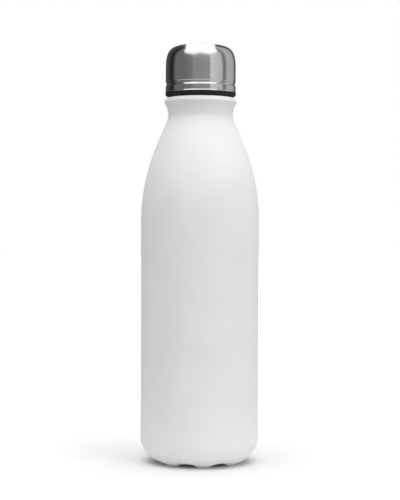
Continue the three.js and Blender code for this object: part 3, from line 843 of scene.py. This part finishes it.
def studio_walls():
    """A tent of grey and white cards from the floor to over the bottle, shown in reflections only.

    Its brightness goes by azimuth, from the front towards +X."""
    low = 4 * MM
    roof = bezier(
        (TENT_RADIUS, 0.9), (TENT_RADIUS, 1.5), (1.1, TENT_HEIGHT), (1 * MM, TENT_HEIGHT), 12)
    outline = joined((TENT_FLOOR_RADIUS, low), (TENT_RADIUS, low), roof)
    sides = 72
    azimuth = np.arange(sides) * 2 * np.pi / sides
    radius, height = outline[None, :, 0], outline[None, :, 1]
    place = np.stack([
        radius * np.sin(azimuth)[:, None], -radius * np.cos(azimuth)[:, None],
        np.repeat(height, sides, 0)], -1)
    rows = place.shape[1]
    side, row = np.arange(sides)[:, None], np.arange(rows - 1)[None, :]
    beyond = (side + 1) % sides
    near, far = side * rows + row, beyond * rows + row
    quads = np.stack([near, far, far + 1, near + 1], -1)
    walls = mesh_object("studio_walls", place.reshape(-1, 3), [quads.reshape(-1, 4)])
    material = bpy.data.materials.new("studio_walls")
    material.use_nodes = True
    tree = material.node_tree
    tree.nodes.clear()
    place = node(tree, "ShaderNodeTexCoord").outputs["Object"]
    parts = node(tree, "ShaderNodeSeparateXYZ", {"Vector": place})
    backward = math_node(tree, "MULTIPLY", parts.outputs["Y"], -1.0)
    azimuth = math_node(tree, "ARCTAN2", parts.outputs["X"], backward)
    turn = node(tree, "ShaderNodeMapRange", {
        "Value": azimuth, "From Min": -math.pi, "From Max": math.pi, "To Min": 0.0, "To Max": 1.0})
    ramp = node(tree, "ShaderNodeValToRGB", {"Fac": turn.outputs["Result"]})
    elements = ramp.color_ramp.elements
    while len(elements) > 1:
        elements.remove(elements[0])
    for index, (degrees, brightness) in enumerate(CARDS):
        place = (degrees + 180) / 360
        element = elements[0] if index == 0 else elements.new(place)
        element.position = place
        element.color = (brightness, brightness, brightness, 1)
    glow = node(tree, "ShaderNodeEmission", {"Color": ramp.outputs["Color"], "Strength": 1.0})
    out = node(tree, "ShaderNodeOutputMaterial")
    tree.links.new(glow.outputs[0], out.inputs["Surface"])
    walls.data.materials.append(material)
    reflected_only(walls)


def overhead_card():
    """The white card over the bottle that its cap reflects: wide in front, narrow behind.

    Its outline is given for one half, and the other half mirrors it."""
    right_half = np.array([
        (0, -1.13), (0.24, -1.16), (0.44, -1.32), (0.66, -1.26), (0.86, -0.98), (0.96, -0.72), (0.96, -0.52),
        (0.84, -0.34), (0.48, -0.04), (0.28, 0.38), (0.18, 0.88), (0.13, 1.6)])
    outline = np.concatenate([right_half * (0.94, 1), right_half[:0:-1] * (-1, 1)])
    corners = np.c_[outline, np.full(len(outline), OVERHEAD_CARD_HEIGHT)]
    middle = np.array([[0, -0.4, OVERHEAD_CARD_HEIGHT]])
    count = len(corners)
    fan = np.stack([np.full(count, count), np.arange(count), (np.arange(count) + 1) % count], 1)
    card = mesh_object("overhead_card", np.concatenate([corners, middle]), [fan])
    material = bpy.data.materials.new("overhead_card")
    material.use_nodes = True
    tree = material.node_tree
    tree.nodes.clear()
    glow = node(tree, "ShaderNodeEmission", {"Color": (1, 1, 1, 1), "Strength": OVERHEAD_CARD})
    out = node(tree, "ShaderNodeOutputMaterial")
    tree.links.new(glow.outputs[0], out.inputs["Surface"])
    card.data.materials.append(material)
    reflected_only(card)


def softbox(name, place, aim, size, radiance):
    """A rectangular lamp of a radiance, aimed at a point."""
    data = bpy.data.lights.new(name, "AREA")
    data.shape = "RECTANGLE"
    data.size, data.size_y = size
    data.energy = radiance * math.pi * size[0] * size[1]
    thing = bpy.data.objects.new(name, data)
    thing.location = place
    thing.rotation_euler = (Vector(aim) - Vector(place)).to_track_quat("-Z", "Y").to_euler()
    thing.visible_glossy = False
    bpy.context.scene.collection.objects.link(thing)


def lamps():
    """Softboxes overhead, in front to the right and in front to the left."""
    softbox("overhead", (0, 0.0, 1.3), (0, 0, 0), (1.3, 1.3), OVERHEAD)
    softbox("right", (1.3, -1.1, 0.8), (0, 0, 0.12), (1.2, 1.2), RIGHT)
    softbox("left", (-1.5, -1.1, 0.7), (0, 0, 0.12), (1.0, 1.2), LEFT)


# ---------- scene ----------

bpy.context.scene.view_settings.view_transform = "Standard"
camera()
world()
floor()
studio_walls()
overhead_card()
lamps()

finished(bottle_skin(), "bottle", "powder_coat", "outer_shell", "outer_base")
finished(base_pad(), "bottle", "pale_rubber", "base_disc")
finished(liner_wall(), "bottle", "drawn_steel", "inner_liner")
finished(liner_floor(), "bottle", "drawn_steel", "liner_base")
finished(steel_cap(), "cap", "brushed_steel", "cap_shell")
finished(cap_plug(), "cap", "black_plastic", "cap_core")
finished(seal_ring(), "gasket", "black_silicone", "cap_gasket")
finish_kept_nodes()
